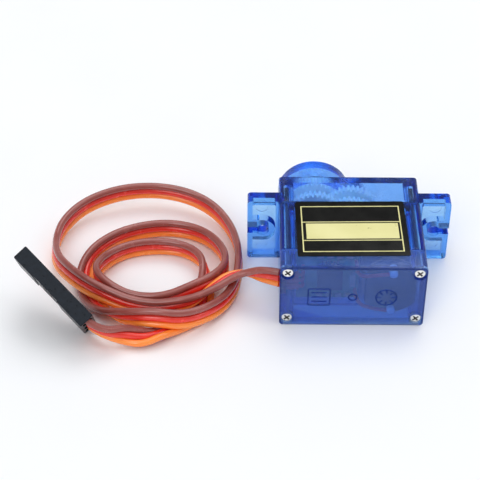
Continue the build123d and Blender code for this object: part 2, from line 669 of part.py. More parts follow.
with BuildPart() as armature_windings:
    with BuildSketch(facing(CORE_LOW - COIL_OVERHANG, MOTOR_X)):
        for pole_angle in POLE_ANGLES:
            with Locations(Rotation(0, 0, pole_angle)):
                with Locations((COIL_AT, 0)):
                    RectangleRounded(COIL_DEPTH, COIL_WIDTH, COIL_CORNER)
    extrude(amount=CORE_TOP - CORE_LOW + 2 * COIL_OVERHANG, dir=OUTWARD)
    fillet(armature_windings.faces().filter_by(Axis.Y).edges(), COIL_FILLET)
    with BuildSketch(facing(CORE_LOW, MOTOR_X)):
        stems(HUB_CORE_R + COIL_FIT, STEM_WIDTH + COIL_FIT)
    extrude(amount=CORE_TOP - CORE_LOW, dir=OUTWARD, mode=Mode.SUBTRACT)
save(armature_windings, "armature_windings")

with BuildPart() as commutator:
    disc(COMMUTATOR_LOW, COMMUTATOR_TOP, COMMUTATOR_R, MOTOR_X)
    with BuildSketch(facing(COMMUTATOR_LOW, MOTOR_X)):
        with PolarLocations(COMMUTATOR_R, len(POLE_ANGLES), start_angle=30):
            Rectangle(SLIT_DEPTH, SLIT_WIDTH)
    extrude(amount=COMMUTATOR_TOP - COMMUTATOR_LOW, dir=OUTWARD, mode=Mode.SUBTRACT)
    disc(COMMUTATOR_LOW, COMMUTATOR_TOP, MOTOR_SHAFT_R, MOTOR_X, mode=Mode.SUBTRACT)
save(commutator, "commutator")

with BuildPart() as motor_brushes:
    for side in (-1, 1):
        block(CAN_LOW, BRUSH_TOP, BRUSH_THICK, BRUSH_WIDTH, MOTOR_X + side * BRUSH_X)
        block(CAN_LOW, BRUSH_ARM_TOP, BRUSH_THICK, BRUSH_ARM, MOTOR_X + side * BRUSH_X)
save(motor_brushes, "motor_brushes")

with BuildPart() as motor_terminals:
    for side in (-1, 1):
        disc(SOLDER_LOW, SOLDER_TOP, SOLDER_R, MOTOR_X + SOLDER_SHIFT, MID_Z + side * TERMINAL_Z)
    fillet(motor_terminals.faces().filter_by(Axis.Y).group_by(Axis.Y)[0].edges(), SOLDER_FILLET)
    for side in (-1, 1):
        block(SOLDER_TOP - TAG_IN_SOLDER, CAN_LOW, TAG_WIDTH, TAG_THICK, MOTOR_X,
              MID_Z + side * TERMINAL_Z)
save(motor_terminals, "motor_terminals")

with BuildPart() as motor_pinion:
    pinion(MOTOR_PINION_LOW, MOTOR_PINION_TOP, MOTOR_X, MOTOR_TEETH)
    disc(MOTOR_PINION_LOW, MOTOR_PINION_TOP, MOTOR_SHAFT_R, MOTOR_X, mode=Mode.SUBTRACT)
save(motor_pinion, "motor_pinion")

# ---------------------------------------------------------------- potentiometer

with BuildPart() as potentiometer_case:
    disc(POT_LOW, POT_TOP, POT_R, OUTPUT_X)
    fillet(potentiometer_case.faces().sort_by(Axis.Y)[-1].edges(), POT_FILLET)
    disc(POT_LOW, POT_TOP - POT_WALL, POT_R - POT_WALL, OUTPUT_X, mode=Mode.SUBTRACT)
    disc(POT_TOP - POT_WALL, POT_TOP, POT_SHAFT_BORE_R, OUTPUT_X, mode=Mode.SUBTRACT)
save(potentiometer_case, "potentiometer_case")

with BuildPart() as potentiometer_track:
    disc(POT_LOW, TRACK_TOP, POT_R - POT_WALL, OUTPUT_X)
    disc(POT_LOW, TRACK_TOP, TRACK_HOLE_R, OUTPUT_X, mode=Mode.SUBTRACT)
save(potentiometer_track, "potentiometer_track")

with BuildPart() as potentiometer_shaft:
    disc(POT_SHAFT_LOW, POT_SHAFT_TOP, POT_SHAFT_R, OUTPUT_X)
    chamfer(potentiometer_shaft.faces().filter_by(Axis.Y).edges(), PIN_CHAMFER)
save(potentiometer_shaft, "potentiometer_shaft")

with BuildPart() as potentiometer_wiper:
    disc(WIPER_LOW, WIPER_TOP, WIPER_R, OUTPUT_X)
    for side in (-1, 1):
        block(FINGER_LOW, WIPER_LOW, FINGER_THICK, FINGER_WIDTH, OUTPUT_X + side * WIPER_R / 2)
    disc(WIPER_LOW, WIPER_TOP, POT_SHAFT_R, OUTPUT_X, mode=Mode.SUBTRACT)
save(potentiometer_wiper, "potentiometer_wiper")

with BuildPart() as potentiometer_terminals:
    for step in (-1, 0, 1):
        block(POT_PIN_LOW, POT_LOW, POT_PIN_THICK, POT_PIN_WIDTH, OUTPUT_X + POT_PIN_X,
              MID_Z + step * POT_PIN_GAP)
save(potentiometer_terminals, "potentiometer_terminals")

# ---------------------------------------------------------------- electronics

BOARD_X = (BOARD_LEFT + BOARD_RIGHT) / 2
with BuildPart() as control_board:
    block(BOARD_LOW, BOARD_TOP, BOARD_RIGHT - BOARD_LEFT, BOARD_LENGTH, BOARD_X)
save(control_board, "control_board")

with BuildPart() as driver_chip:
    block(PARTS_LOW, BOARD_LOW - CHIP_STANDOFF, CHIP_WIDTH, CHIP_LENGTH, CHIP_X)
    for side in (-1, 1):
        for step in range(-2, 3):
            block(LEG_LOW, BOARD_LOW, LEG_THICK, LEG_LENGTH, CHIP_X + CHIP_LEG_GAP * step,
                  MID_Z + side * (CHIP_LENGTH / 2 + LEG_OUT))
save(driver_chip, "driver_chip")

with BuildPart() as board_components:
    for side in (-1, 1):
        for step in range(4):
            block(RESISTOR_LOW, BOARD_LOW, RESISTOR_LENGTH, RESISTOR_WIDTH,
                  CHIP_X + RESISTOR_GAP * (step - 1), MID_Z + side * RESISTOR_Z)
    block(PARTS_LOW, BOARD_LOW, CAPACITOR_WIDTH, CAPACITOR_LENGTH, CAPACITOR_X)
save(board_components, "board_components")


def bends(points):
    """Radius for each corner of a path: 0.45 of its shorter run over the tangent of half the turn."""
    radii = []
    for before, corner, after in zip(points, points[1:], points[2:]):
        turn = math.radians((corner - before).get_angle(after - corner))
        shorter = min((corner - before).length, (after - corner).length)
        radii.append(0.45 * shorter / math.tan(turn / 2))
    return radii


def tube(points, radius):
    """Round wire along straight runs joined by tangent arcs."""
    with BuildLine() as path:
        FilletPolyline(*points, radius=bends(points))
    with BuildSketch(Plane(origin=points[0], z_dir=points[1] - points[0])) as profile:
        Circle(radius)
    sweep(profile.sketch, path=path.line)


def spot(x, level, z):
    return Vector(x, BASE_Y + level, z)


with BuildPart() as motor_wires:
    for side in (-1, 1):
        tube([spot(x, level, MID_Z + side * z) for x, level, z in MOTOR_WIRE], INNER_WIRE_R)
save(motor_wires, "motor_wires")

with BuildPart() as potentiometer_wires:
    for step in (-1, 0, 1):
        pin_x = OUTPUT_X + POT_PIN_X
        tube([spot(pin_x, POT_PIN_LOW, MID_Z + step * POT_PIN_GAP),
              spot(pin_x + MERGE, POT_PIN_LOW - POT_WIRE_DROP, MID_Z + step * POT_PIN_GAP),
              spot(pin_x + POT_WIRE_SHIFT, BOARD_TOP + POT_WIRE_DROP, MID_Z + step * POT_WIRE_GAP),
              spot(pin_x + POT_WIRE_SHIFT + MERGE, BOARD_TOP, MID_Z + step * POT_WIRE_GAP)],
             INNER_WIRE_R)
save(potentiometer_wires, "potentiometer_wires")

with BuildPart() as lead_ends:
    for step in (-1, 0, 1):
        wire_z = LEAD_Z + step * WIRE_PITCH
        with BuildSketch(Plane.YZ.offset(-CASE_WIDTH / 2)):
            with Locations((BASE_Y + LEAD_LEVEL, wire_z)):
                Circle(WIRE_SOLID_D / 2)
        extrude(amount=LEAD_INSIDE)
        # bared end, bent up to the board
        tube([Vector(-CASE_WIDTH / 2 + LEAD_INSIDE, BASE_Y + LEAD_LEVEL, wire_z),
              Vector(-CASE_WIDTH / 2 + LEAD_INSIDE + BARE_END, BASE_Y + LEAD_LEVEL, wire_z),
              Vector(-CASE_WIDTH / 2 + LEAD_INSIDE + BARE_END, BASE_Y + BOARD_LOW, wire_z)],
             INNER_WIRE_R)
save(lead_ends, "lead_ends")

# ---------------------------------------------------------------- lead and connector


def wire_points(place):
    """Route of one wire of the ribbon. Place is 1 for brown, 0 for red and -1 for orange."""
    middle = [Vector(x, y, z) for x, y, z, lean in LEAD_ROUTE]
    points = []
    for i, (x, y, z, lean) in enumerate(LEAD_ROUTE):
        run = middle[min(i + 1, len(middle) - 1)] - middle[max(i - 1, 0)]
        left = Vector(-run.Y, run.X, 0).normalized()
        lean = math.radians(lean)
        across = left * math.sin(lean) + Vector(0, 0, 1) * math.cos(lean)
        points.append(middle[i] + across * (place * WIRE_PITCH))
    entry = PLUG_AT + PLUG_ACROSS * (place * PLUG_PITCH)
    return points + [entry, entry + PLUG_WAY * WIRE_IN_PLUG]


for wire_name, place in (("brown", 1), ("red", 0), ("orange", -1)):
    route = wire_points(place)
    with BuildPart() as lead_wire:
        tube(route, WIRE_SOLID_D / 2)
    print(wire_name, "radii", [round(r, 1) for r in bends(route)])
    print(wire_name, "length", round(lead_wire.part.volume / (math.pi * WIRE_SOLID_D**2 / 4), 1))
    save(lead_wire, f"lead_wire_{wire_name}")

plug_plane = Plane(origin=PLUG_AT, x_dir=PLUG_ACROSS, z_dir=PLUG_WAY)
with BuildPart() as connector_housing:
    with BuildSketch(plug_plane):
        Rectangle(PLUG_WIDTH, PLUG_THICK)
    extrude(amount=PLUG_LENGTH)
    chamfer(connector_housing.edges(), PLUG_CHAMFER)
    with BuildSketch(plug_plane):
        with GridLocations(PLUG_PITCH, 0, 3, 1):
            Rectangle(CAVITY, CAVITY)
    extrude(amount=CAVITY_DEPTH, mode=Mode.SUBTRACT)
    with BuildSketch(plug_plane.offset(CAVITY_DEPTH)):
        with GridLocations(PLUG_PITCH, 0, 3, 1):
            Rectangle(SOCKET, SOCKET)
    extrude(amount=PLUG_LENGTH - CAVITY_DEPTH, mode=Mode.SUBTRACT)
    # stepped relief and latch windows on one wide face
    with BuildSketch(plug_plane.offset(STEP_START)):
        with Locations((0, -PLUG_THICK / 2)):
            Rectangle(PLUG_WIDTH + 1, 2 * STEP_DEPTH)
    extrude(amount=STEP_LENGTH, mode=Mode.SUBTRACT)
    with BuildSketch(plug_plane.offset(WINDOW_START)):
        with GridLocations(PLUG_PITCH, 0, 3, 1):
            with Locations((0, -PLUG_THICK / 2)):
                Rectangle(WINDOW_WIDTH, 2 * WINDOW_DEPTH)
    extrude(amount=WINDOW_LENGTH, mode=Mode.SUBTRACT)
save(connector_housing, "connector_housing")

with BuildPart() as crimp_contacts:
    with BuildSketch(plug_plane.offset(CAVITY_DEPTH - CONTACT_LENGTH)):
        with GridLocations(PLUG_PITCH, 0, 3, 1):
            Rectangle(*CONTACT_SIZE)
    extrude(amount=CONTACT_LENGTH - CONTACT_SLACK)
    with BuildSketch(plug_plane.offset(CAVITY_DEPTH - BORE_DEPTH)):
        with GridLocations(PLUG_PITCH, 0, 3, 1):
            Rectangle(CONTACT_BORE, CONTACT_BORE)
    extrude(amount=BORE_DEPTH, mode=Mode.SUBTRACT)
    with BuildSketch(plug_plane.offset(WIRE_IN_PLUG)):
        with GridLocations(PLUG_PITCH, 0, 3, 1):
            Circle(BARREL_R)
    extrude(amount=CAVITY_DEPTH - CONTACT_LENGTH - WIRE_IN_PLUG)
save(crimp_contacts, "crimp_contacts")
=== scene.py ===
import math

import bpy
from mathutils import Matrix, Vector


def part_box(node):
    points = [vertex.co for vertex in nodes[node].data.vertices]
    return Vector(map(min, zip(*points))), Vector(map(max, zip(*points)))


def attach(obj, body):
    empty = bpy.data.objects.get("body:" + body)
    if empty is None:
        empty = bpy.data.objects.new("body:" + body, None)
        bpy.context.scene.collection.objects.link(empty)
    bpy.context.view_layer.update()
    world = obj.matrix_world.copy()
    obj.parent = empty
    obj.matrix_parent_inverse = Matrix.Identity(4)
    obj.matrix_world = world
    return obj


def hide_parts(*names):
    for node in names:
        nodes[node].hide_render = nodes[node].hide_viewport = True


MM = 0.001
PLASTIC_IOR = 1.46
PLASTIC_SHADOW = (0.93, 0.97, 1)
# Painted shade: a navy diffuse mixed into the clear case along its outer edges and in the base's
# relief grooves, in place of the dark rims that thick clear walls show edge-on.
PAINTED_SHADE_NAVY = (0.015, 0.03, 0.14)
PAINTED_SHADE_SHARE = 0.75
PAINTED_EDGE_SHADE_SOLID = 0.08
PAINTED_EDGE_SHADE_FADED = 0.34
RELIEF = 0.16
# Shares of the relief's depth between which its band of painted shade fades in, and then out
PAINTED_RELIEF_SHADE_IN = (0.5, 0.9)
PAINTED_RELIEF_SHADE_OUT = (1.1, 1.5)
# Painted shade in the screw heads' cross recess: the colour darkens from the first depth in mm to full
# at the second.
PAINTED_RECESS_SHADE_START = 0.1
PAINTED_RECESS_SHADE_FULL = 0.3
COAT_ROUGHNESS = 0.08
SCATTER_RADIUS = (1.0, 0.6, 0.4)
SCATTER_DEPTH = 0.4
WIRE_D = 1.14
CASE_LENGTH = 22.6
LABEL_TURN = 1.1

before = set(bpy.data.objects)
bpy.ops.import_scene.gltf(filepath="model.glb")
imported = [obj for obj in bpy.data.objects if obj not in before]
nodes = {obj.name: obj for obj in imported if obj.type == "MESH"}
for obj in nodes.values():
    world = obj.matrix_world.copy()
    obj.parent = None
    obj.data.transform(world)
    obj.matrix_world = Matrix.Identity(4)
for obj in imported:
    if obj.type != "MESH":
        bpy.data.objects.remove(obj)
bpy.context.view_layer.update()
scene = bpy.context.scene

# ---------------------------------------------------------------- camera

camera_data = bpy.data.cameras.new("camera")
camera_data.lens = 109.52
camera_data.sensor_width = 36
camera_data.clip_start = 0.005
camera_data.clip_end = 10
camera = bpy.data.objects.new("camera", camera_data)
camera.location = (-0.0158, -0.18096, 0.15985)
camera.rotation_euler = (math.radians(49.371), math.radians(-0.02), math.radians(0.582))
scene.collection.objects.link(camera)
scene.camera = camera

# ---------------------------------------------------------------- lead

# The middle wire's centre (x, y, z) in millimetres, and the angle in degrees by which the
# brown wire leans from above it towards the left of the run.
LEAD_ROUTE = [
    (-11.3, -10.95, 6.2, 0), (-13.9, -9.9, 6, 5), (-16.4, -8.6, 5.2, 50), (-18.9, -8.9, 4.8, 64),
    (-21.5, -11, 4.3, 56), (-24.4, -13.2, 3.4, 22), (-27.8, -13.9, 2.7, 8), (-31.2, -13.8, 2.2, 5),
    (-34.9, -13.2, 2.4, 0), (-38.4, -12.1, 3.2, -5), (-41.7, -10.2, 3.5, -8),
    (-44.9, -7.2, 3.5, -10), (-47.3, -3.4, 2.8, -10), (-48.2, 1.1, 2.1, -8), (-47.3, 6.1, 2.4, 0),
    (-44.1, 10.7, 2.9, -5), (-38.6, 13.6, 3.4, -10), (-32.4, 14.4, 3.5, -12),
    (-26.5, 13.2, 3.2, -8), (-21.9, 10.3, 2.5, -3), (-18.9, 5.5, 1.9, -5), (-17.7, 0.2, 1.81, -5),
    (-17.8, -4.6, 1.81, -3), (-18.3, -8.4, 1.81, 0), (-19.8, -12.3, 2.3, 0), (-22.5, -15.7, 3, -5),
    (-26.2, -17.8, 3.4, -5), (-30.9, -17.6, 3.8, -8), (-35.6, -16.2, 2.5, 4),
    (-39.4, -13.3, 1.21, 60), (-41.7, -9.7, 0.66, 88), (-42.7, -5.6, 1.18, 62),
    (-42.2, -1.2, 1.8, 12), (-38.8, 3.3, 1.81, 0), (-33.6, 5.9, 1.81, -5), (-28.4, 6.3, 1.81, -5),
    (-23.7, 4.5, 1.9, -5), (-20.6, 0.5, 2.2, -5), (-19.6, -4.2, 2.7, 0), (-21.2, -7.9, 3.16, 0),
    (-24.8, -10.7, 3.25, -5), (-29.6, -12.3, 2.3, 10), (-34.6, -11.8, 2, 8), (-38.6, -10.1, 3, 0),
    (-40.9, -6.9, 3.1, 0), (-40, -2.9, 2.1, 0), (-36.8, 0.4, 1.81, -5), (-32.2, 1.7, 1.81, -5),
    (-27.2, 1.2, 1.8, -10), (-23.8, -1.5, 1.81, -8), (-22.9, -5.4, 1.7, -25),
    (-23.18, -8.8, 0.78, -82), (-23.68, -13.46, 0.61, -93), (-27.48, -16.27, 0.69, -88),
    (-29.88, -18.7, 1.39, -116), (-32.57, -19.67, 1.49, -71), (-35, -19.86, 2.23, -25),
    (-37.9, -20.39, 3, 25),
]
PLUG_AT = Vector((-40.64, -19.23, 3.67))
PLUG_WAY = Vector((-0.7049, 0.5547, 0.442))
PLUG_ACROSS = Vector((0.0215, -0.6063, 0.795))
PLUG_PITCH = 2.54
WIRE_PITCH = 1.2
WIRE_IN_PLUG = 2.2


def wire_points(place):
    """Route of one wire of the ribbon. Place is 1 for brown, 0 for red and -1 for orange."""
    middle = [Vector(point[:3]) for point in LEAD_ROUTE]
    points = []
    for i, (x, y, z, lean) in enumerate(LEAD_ROUTE):
        run = middle[min(i + 1, len(middle) - 1)] - middle[max(i - 1, 0)]
        left = Vector((-run.y, run.x, 0)).normalized()
        lean = math.radians(lean)
        across = left * math.sin(lean) + Vector((0, 0, math.cos(lean)))
        points.append(middle[i] + across * (place * WIRE_PITCH))
    entry = PLUG_AT + PLUG_ACROSS * (place * PLUG_PITCH)
    return [p * MM for p in points + [entry, entry + PLUG_WAY * WIRE_IN_PLUG]]


def wire(name, place, material):
    """One insulated wire as a smooth curve that replaces its CAD tube."""
    points = wire_points(place)
    curve = bpy.data.curves.new(name, "CURVE")
    curve.dimensions = "3D"
    spline = curve.splines.new("NURBS")
    spline.points.add(len(points) - 1)
    for target, p in zip(spline.points, points):
        target.co = (*p, 1)
    spline.order_u = 3
    spline.use_endpoint_u = True
    spline.resolution_u = 14
    curve.bevel_depth = WIRE_D * MM / 2
    curve.bevel_resolution = 7
    curve.use_fill_caps = True
    curve.materials.append(material)
    obj = bpy.data.objects.new(name, curve)
    scene.collection.objects.link(obj)
    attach(obj, "case")
    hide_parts("lead_wire_" + name.split("_")[0])


# ---------------------------------------------------------------- materials


class Shader:
    """A small builder for node materials."""

    def __init__(self, name):
        self.material = bpy.data.materials.new(name)
        self.material.use_nodes = True
        self.tree = self.material.node_tree
        self.tree.nodes.clear()
        self.output = self.node("ShaderNodeOutputMaterial")
        self.place = self.node("ShaderNodeTexCoord").outputs["Object"]

    def node(self, kind, **values):
        made = self.tree.nodes.new(kind)
        for key, value in values.items():
            setattr(made, key, value)
        return made

    def link(self, source, target):
        self.tree.links.new(source, target)

    def principled(self, **values):
        made = self.node("ShaderNodeBsdfPrincipled")
        for key, value in values.items():
            made.inputs[key.replace("_", " ")].default_value = value
        return made

    def noise(self, scale, detail=3.0, roughness=0.5, stretch=(1, 1, 1)):
        """Noise value over the object, scale in features per metre."""
        mapping = self.node("ShaderNodeMapping")
        mapping.inputs["Scale"].default_value = stretch
        self.link(self.place, mapping.inputs["Vector"])
        made = self.node("ShaderNodeTexNoise")
        made.inputs["Scale"].default_value = scale
        made.inputs["Detail"].default_value = detail
        made.inputs["Roughness"].default_value = roughness
        self.link(mapping.outputs["Vector"], made.inputs["Vector"])
        return made.outputs["Fac"]

    def ramp(self, value, stops):
        """Colour ramp from (position, colour) stops."""
        made = self.node("ShaderNodeValToRGB")
        elements = made.color_ramp.elements
        while len(elements) < len(stops):
            elements.new(0.5)
        for element, (position, colour) in zip(elements, stops):
            element.position = position
            element.color = (*colour, 1)
        self.link(value, made.inputs["Fac"])
        return made.outputs["Color"]

    def remap(self, value, low, high, low_in=0.3, high_in=0.7):
        made = self.node("ShaderNodeMapRange")
        made.inputs["From Min"].default_value = low_in
        made.inputs["From Max"].default_value = high_in
        made.inputs["To Min"].default_value = low
        made.inputs["To Max"].default_value = high
        self.link(value, made.inputs["Value"])
        return made.outputs["Result"]

    def maths(self, operation, first, second=0.0):
        made = self.node("ShaderNodeMath", operation=operation)
        self.link(first, made.inputs[0])
        if isinstance(second, float):
            made.inputs[1].default_value = second
        else:
            self.link(second, made.inputs[1])
        return made.outputs["Value"]

    def bump(self, value, strength, distance, *targets):
        made = self.node("ShaderNodeBump")
        made.inputs["Strength"].default_value = strength
        made.inputs["Distance"].default_value = distance
        self.link(value, made.inputs["Height"])
        for target in targets:
            self.link(made.outputs["Normal"], target.inputs["Normal"])

    def surface(self, shader_socket):
        self.link(shader_socket, self.output.inputs["Surface"])
        return self.material


def solid(name, dark, light, roughness, metallic=0.0, scale=900, bump=0.15,
          stretch=(1, 1, 1), spread=0.08, coat=0.0, subsurface=0.0, shine=0.5):
    """Opaque material whose colour and roughness vary a little over the surface."""
    s = Shader(name)
    bsdf = s.principled(Metallic=metallic, Coat_Weight=coat, Coat_Roughness=COAT_ROUGHNESS,
                        Specular_IOR_Level=shine)
    if subsurface:
        bsdf.inputs["Subsurface Weight"].default_value = subsurface
        bsdf.inputs["Subsurface Radius"].default_value = SCATTER_RADIUS
        bsdf.inputs["Subsurface Scale"].default_value = SCATTER_DEPTH * MM
    grain = s.noise(scale, 4, 0.55, stretch)
    s.link(s.ramp(grain, [(0.3, dark), (0.7, light)]), bsdf.inputs["Base Color"])
    s.link(s.remap(grain, roughness - spread, roughness + spread), bsdf.inputs["Roughness"])
    s.bump(s.noise(scale * 3, 3, 0.6, stretch), bump, 0.02 * MM, bsdf)
    return s.surface(bsdf.outputs["BSDF"])


def painted_edge_shade_mask(s, inner, outer):
    """Painted shade mask: 1 along the outer edges of the case and 0 elsewhere, fading from inner to
    outer mm away.
    """
    base_low, base_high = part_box("bottom_cover")
    middle = ((base_low.x + base_high.x) / 2, base_low.y + CASE_LENGTH * MM / 2,
              (base_low.z + base_high.z) / 2)
    half = (base_high.x - middle[0], CASE_LENGTH * MM / 2, base_high.z - middle[2])
    split = s.node("ShaderNodeSeparateXYZ")
    s.link(s.place, split.inputs["Vector"])
    near = []
    for axis, centre, reach in zip("XYZ", middle, half):
        away = s.maths("ABSOLUTE", s.maths("SUBTRACT", split.outputs[axis], centre))
        gap = s.maths("ABSOLUTE", s.maths("SUBTRACT", away, reach))
        near.append(s.remap(gap, 1, 0, inner * MM, outer * MM))
    x, y, z = near
    pairs = [s.maths("MULTIPLY", x, z), s.maths("MULTIPLY", x, y), s.maths("MULTIPLY", y, z)]
    return s.maths("MAXIMUM", s.maths("MAXIMUM", pairs[0], pairs[1]), pairs[2])


def painted_relief_shade_mask(s):
    """Painted shade mask: 1 on the sunken floors of the base's moulded relief and on the walls at that
    depth.
    """
    split = s.node("ShaderNodeSeparateXYZ")
    s.link(s.place, split.inputs["Vector"])
    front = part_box("bottom_cover")[0].y
    depth = RELIEF * MM
    below = s.remap(split.outputs["Y"], 0, 1, *(front + share * depth for share in PAINTED_RELIEF_SHADE_IN))
    above = s.remap(split.outputs["Y"], 1, 0, *(front + share * depth for share in PAINTED_RELIEF_SHADE_OUT))
    return s.maths("MULTIPLY", below, above)


def clear_plastic(name, tint, body, density, haze, milk, glow):
    """Clear tinted plastic. Tint colours each surface crossed, body and density colour it by
    depth, haze is the highest roughness and milk the share of light scattered back in the
    colour glow. A navy diffuse paints shade along the case's outer edges and in the base's
    relief grooves."""
    s = Shader(name)
    glass = s.node("ShaderNodeBsdfGlass")
    glass.inputs["Color"].default_value = (*tint, 1)
    glass.inputs["IOR"].default_value = PLASTIC_IOR
    s.link(s.remap(s.noise(500, 3), 0.0, haze), glass.inputs["Roughness"])
    cloudy = s.node("ShaderNodeBsdfDiffuse")
    cloudy.inputs["Color"].default_value = (*glow, 1)
    inner = s.node("ShaderNodeMixShader")
    s.link(s.remap(s.noise(180, 4), 0.8 * milk, 1.2 * milk), inner.inputs["Fac"])
    s.link(glass.outputs["BSDF"], inner.inputs[1])
    s.link(cloudy.outputs["BSDF"], inner.inputs[2])
    # Painted shade: navy diffuse mixed in along the case's outer edges and in the base's relief
    # grooves.
    dark = s.node("ShaderNodeBsdfDiffuse")
    dark.inputs["Color"].default_value = (*PAINTED_SHADE_NAVY, 1)
    painted_shade_mixed = s.node("ShaderNodeMixShader")
    painted_shade_lines = s.maths("MAXIMUM", painted_edge_shade_mask(s, PAINTED_EDGE_SHADE_SOLID, PAINTED_EDGE_SHADE_FADED), painted_relief_shade_mask(s))
    s.link(s.maths("MULTIPLY", painted_shade_lines, PAINTED_SHADE_SHARE), painted_shade_mixed.inputs["Fac"])
    s.link(inner.outputs["Shader"], painted_shade_mixed.inputs[1])
    s.link(dark.outputs["BSDF"], painted_shade_mixed.inputs[2])
    s.bump(s.noise(260, 3), 0.12, 0.05 * MM, glass)
    clear = s.node("ShaderNodeBsdfTransparent")
    clear.inputs["Color"].default_value = (*PLASTIC_SHADOW, 1)
    path = s.node("ShaderNodeLightPath")
    mix = s.node("ShaderNodeMixShader")
    s.link(path.outputs["Is Shadow Ray"], mix.inputs["Fac"])
    s.link(painted_shade_mixed.outputs["Shader"], mix.inputs[1])
    s.link(clear.outputs["BSDF"], mix.inputs[2])
    absorb = s.node("ShaderNodeVolumeAbsorption")
    absorb.inputs["Color"].default_value = (*body, 1)
    absorb.inputs["Density"].default_value = density
    s.link(absorb.outputs["Volume"], s.output.inputs["Volume"])
    return s.surface(mix.outputs["Shader"])


def dress(material, *names):
    """Gives CAD nodes their material."""
    for name in names:
        slots = nodes[name].data.materials
        slots.clear()
        slots.append(material)


dress(clear_plastic("clear_blue_case", (0.88, 0.97, 1.0), (0.04, 0.56, 0.96), 700, 0.08, 0.06,
                    (0.14, 0.26, 0.9)), "middle_case")
dress(clear_plastic("clear_blue_gearbox", (0.9, 0.97, 1.0), (0.05, 0.54, 0.98), 560, 0.3, 0.05,
                    (0.14, 0.3, 0.95)), "gearbox_cover")
dress(clear_plastic("clear_blue_base", (0.86, 0.95, 1.0), (0.12, 0.46, 0.9), 760, 0.1, 0.2,
                    (0.15, 0.29, 0.8)), "bottom_cover")


def screw_metal():
    """Bright heads with painted shade in the cross recess and on the sides. Depth is measured along Y.
    """
    s = Shader("screw_chrome")
    bsdf = s.principled(Metallic=1.0)
    split = s.node("ShaderNodeSeparateXYZ")
    s.link(s.place, split.inputs["Vector"])
    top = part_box("case_screws")[0].y
    # Painted shade: the base colour darkens with depth into the recess.
    depth = s.remap(split.outputs["Y"], 0, 1, top + PAINTED_RECESS_SHADE_START * MM, top + PAINTED_RECESS_SHADE_FULL * MM)
    s.link(s.ramp(depth, [(0, (0.88, 0.87, 0.83)), (1, (0.1, 0.09, 0.09))]), bsdf.inputs["Base Color"])
    s.link(s.remap(s.noise(1500, 4), 0.12, 0.3), bsdf.inputs["Roughness"])
    s.bump(s.noise(4500), 0.1, 0.02 * MM, bsdf)
    return s.surface(bsdf.outputs["BSDF"])


chrome = screw_metal()
steel = solid("steel", (0.5, 0.5, 0.52), (0.66, 0.66, 0.68), 0.3, 1.0, 1200, 0.1, (1, 0.1, 1))
can_steel = solid("can_steel", (0.3, 0.3, 0.31), (0.42, 0.42, 0.44), 0.36, 1.0, 700, 0.15)
brass = solid("brass", (0.55, 0.38, 0.14), (0.8, 0.6, 0.27), 0.28, 1.0, 1200)
copper = solid("copper", (0.45, 0.16, 0.06), (0.75, 0.34, 0.16), 0.3, 1.0, 4000, 0.5, (1, 0.2, 1))
solder = solid("solder", (0.85, 0.86, 0.88), (0.97, 0.97, 0.98), 0.2, 0.35, 1500, 0.4)
nylon = solid("gear_nylon", (0.88, 0.89, 0.9), (0.95, 0.95, 0.95), 0.38, subsurface=0.3)
white = solid("white_plastic", (0.72, 0.72, 0.7), (0.86, 0.86, 0.83), 0.42)
ferrite = solid("ferrite", (0.06, 0.06, 0.065), (0.14, 0.14, 0.15), 0.7)
phenolic = solid("phenolic", (0.2, 0.12, 0.05), (0.36, 0.24, 0.12), 0.6)
board = solid("board_green", (0.015, 0.12, 0.05), (0.04, 0.26, 0.11), 0.32, coat=0.3)
ceramic = solid("ceramic", (0.32, 0.24, 0.16), (0.5, 0.4, 0.28), 0.5)
black = solid("black_plastic", (0.008, 0.011, 0.016), (0.013, 0.018, 0.027), 0.34, scale=1500,
              shine=0.18, spread=0.1)
red_wire = solid("inner_wire", (0.75, 0.02, 0.015), (0.9, 0.05, 0.03), 0.3)
lamination = solid("lamination", (0.3, 0.3, 0.32), (0.45, 0.45, 0.47), 0.4, 1.0, 3000)

dress(chrome, "case_screws")
dress(steel, "gear_pin", "potentiometer_shaft", "motor_shaft")
dress(can_steel, "motor_can")
dress(brass, "motor_bush", "motor_brushes", "motor_pinion", "crimp_contacts")
dress(copper, "armature_windings", "commutator")
dress(solder, "motor_terminals", "potentiometer_terminals")
dress(nylon, "first_gear", "second_gear", "third_gear", "output_gear")
dress(white, "potentiometer_wiper")
dress(ferrite, "motor_magnets")
dress(phenolic, "potentiometer_track")
dress(board, "control_board")
dress(ceramic, "board_components")
dress(black, "driver_chip", "potentiometer_case", "motor_end_cap", "connector_housing")
dress(red_wire, "motor_wires", "potentiometer_wires", "lead_ends")
dress(lamination, "armature_core")

film = solid("label_film", (0.002, 0.002, 0.002), (0.006, 0.006, 0.005), 0.1, scale=300,
             bump=0.05, spread=0.03, shine=0.25)
dress(film, "label")

brown_pvc = solid("brown_pvc", (0.27, 0.06, 0.048), (0.34, 0.085, 0.07), 0.22, bump=0.04,
                  coat=0.4, scale=450)
red_pvc = solid("red_pvc", (0.74, 0.025, 0.015), (0.86, 0.04, 0.022), 0.22, bump=0.04,
                subsurface=0.08, coat=0.4, scale=450)
orange_pvc = solid("orange_pvc", (1.0, 0.25, 0.03), (1.0, 0.3, 0.045), 0.22, bump=0.04,
                   subsurface=0.12, coat=0.4, scale=450)
wire("brown_wire", 1, brown_pvc)
wire("red_wire", 0, red_pvc)
wire("orange_wire", -1, orange_pvc)

# ---------------------------------------------------------------- print on the label

gold = solid("gold_print", (0.72, 0.68, 0.29), (0.8, 0.76, 0.37), 0.32, 0.3, 160, 0.05)
label_low, label_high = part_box("label")
label_mid = (label_low + label_high) / 2
PRINT_RISE = 0.012
LINE = 0.19
FRAME_WIDTH = 15.7
FRAME_LENGTH = 11.1
FRAME_AT = -0.1
BAR_WIDTH = 14.5
BAR_LENGTH = 3.7
BAR_AT = (0.1, -0.68)
RULES_AT = (1.52, -2.92)


